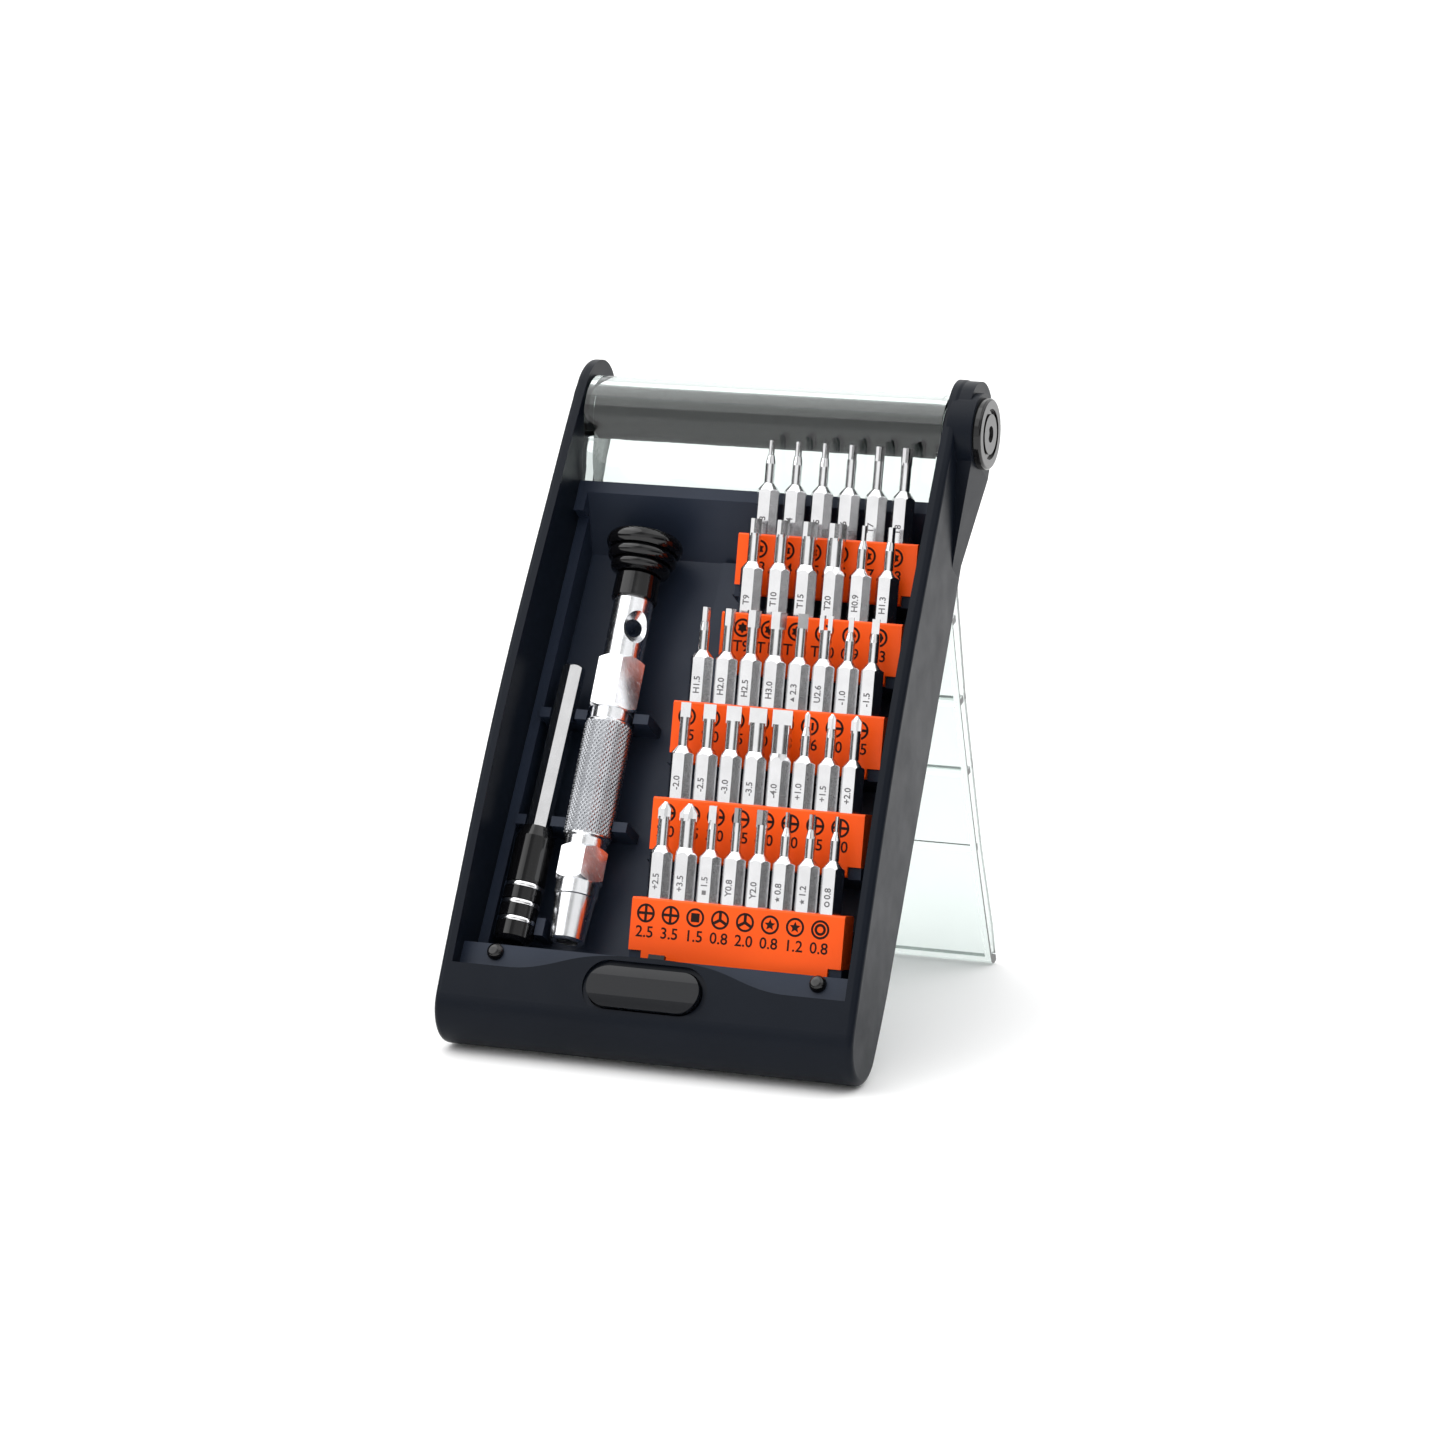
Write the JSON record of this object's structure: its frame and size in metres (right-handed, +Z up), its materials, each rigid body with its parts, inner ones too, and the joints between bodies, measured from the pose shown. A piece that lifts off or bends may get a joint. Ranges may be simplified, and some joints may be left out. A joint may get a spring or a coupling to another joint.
{
  "type": "precision screwdriver set in an easel case",
  "caption": "Pocket case that props up on its clear hinged cover, with racks of precision driver bits, a knurled handle and an extension.",
  "frame": {"origin": "bottom centre of the bounding box: on the table, in the middle of the standing footprint", "axes": "+Z up; +X to the right of someone facing the bits; +Y away from them, toward the cover's foot"},
  "size_m": [0.0866, 0.1016, 0.1221],
  "materials": {
    "case_shell": "satin",
    "clear_cover": "clear, lightly smoked",
    "strip_orange": "satin",
    "bit_steel": "polished",
    "handle_aluminium": "satin",
    "black_gloss": "gloss",
    "bumper_rubber": "glossy"
  },
  "bodies": {
    "case": {"tray": "case_shell", "rail_right": "case_shell", "rail_left": "case_shell", "foot_bar": "case_shell", "hinge_barrel": "case_shell", "hinge_caps": "case_shell", "cover_bumpers": "bumper_rubber", "bit_rack": "case_shell", "bit_strip_1": "strip_orange", "bit_strip_2": "strip_orange", "bit_strip_3": "strip_orange", "bit_strip_4": "strip_orange", "bit_strip_5": "strip_orange"},
    "cover": {"cover": "clear_cover"},
    "latch_button": {"latch_button": "case_shell"},
    "latch_slide": {"latch_slide": "case_shell"},
    "handle": {"handle_nozzle": "handle_aluminium", "handle_body": "handle_aluminium", "handle_collar": "black_gloss", "cap_pin": "bit_steel"},
    "swivel_cap": {"swivel_cap": "black_gloss"},
    "extension": {"extension_shank": "bit_steel", "extension_sleeve": "black_gloss"},
    "bit_row_1": {"bit_torx_t3": "bit_steel", "bit_torx_t4": "bit_steel", "bit_torx_t5": "bit_steel", "bit_torx_t6": "bit_steel", "bit_torx_t7": "bit_steel", "bit_torx_t8": "bit_steel"},
    "bit_row_2": {"bit_torx_t9": "bit_steel", "bit_torx_t10": "bit_steel", "bit_torx_t15": "bit_steel", "bit_torx_t20": "bit_steel", "bit_hex_0_9": "bit_steel", "bit_hex_1_3": "bit_steel"},
    "bit_row_3": {"bit_hex_1_5": "bit_steel", "bit_hex_2_0": "bit_steel", "bit_hex_2_5": "bit_steel", "bit_hex_3_0": "bit_steel", "bit_triangle_2_3": "bit_steel", "bit_fork_2_6": "bit_steel", "bit_slot_1_0": "bit_steel", "bit_slot_1_5": "bit_steel"},
    "bit_row_4": {"bit_slot_2_0": "bit_steel", "bit_slot_2_5": "bit_steel", "bit_slot_3_0": "bit_steel", "bit_slot_3_5": "bit_steel", "bit_slot_4_0": "bit_steel", "bit_cross_1_0": "bit_steel", "bit_cross_1_5": "bit_steel", "bit_cross_2_0": "bit_steel"},
    "bit_row_5": {"bit_cross_2_5": "bit_steel", "bit_cross_3_5": "bit_steel", "bit_square_1_5": "bit_steel", "bit_wing_0_8": "bit_steel", "bit_wing_2_0": "bit_steel", "bit_star_0_8": "bit_steel", "bit_star_1_2": "bit_steel", "bit_round_0_8": "bit_steel"}
  },
  "joints": [
    {"name": "cover_hinge", "type": "hinge", "parent": "case", "child": "cover", "pos_m": [-0.00134, 0.02169, 0.11227], "axis": [-1, 0, 0], "range_deg": [-311.6, 0]},
    {"name": "latch_press", "type": "slide", "parent": "case", "child": "latch_button", "axis": [0, 0.8363, -0.5483], "range_m": [0, 0.0016], "stiffness_N_per_m": 600},
    {"name": "latch_draw", "type": "slide", "parent": "case", "child": "latch_slide", "axis": [0, -0.5483, -0.8363], "range_m": [0, 0.0016]},
    {"name": "handle_lift", "type": "slide", "parent": "case", "child": "handle", "axis": [0, -0.8363, 0.5483], "range_m": [0, 0.03]},
    {"name": "cap_swivel", "type": "hinge", "parent": "handle", "child": "swivel_cap", "pos_m": [-0.0231, 0.00806, 0.08721], "axis": [-0.007, 0.5277, 0.8494], "continuous": true},
    {"name": "extension_lift", "type": "slide", "parent": "case", "child": "extension", "axis": [0, -0.8363, 0.5483], "range_m": [0, 0.03]},
    {"name": "row_1_pull", "type": "slide", "parent": "case", "child": "bit_row_1", "axis": [0, 0.2377, 0.9713], "range_m": [0, 0.01]},
    {"name": "row_2_pull", "type": "slide", "parent": "case", "child": "bit_row_2", "axis": [0, 0.2377, 0.9713], "range_m": [0, 0.01]},
    {"name": "row_3_pull", "type": "slide", "parent": "case", "child": "bit_row_3", "axis": [0, 0.2377, 0.9713], "range_m": [0, 0.01]},
    {"name": "row_4_pull", "type": "slide", "parent": "case", "child": "bit_row_4", "axis": [0, 0.2377, 0.9713], "range_m": [0, 0.01]},
    {"name": "row_5_pull", "type": "slide", "parent": "case", "child": "bit_row_5", "axis": [0, 0.2377, 0.9713], "range_m": [0, 0.01]}
  ],
  "couplings": [
    {"joint": "latch_draw", "follows": "latch_press", "ratio": 1}
  ]
}
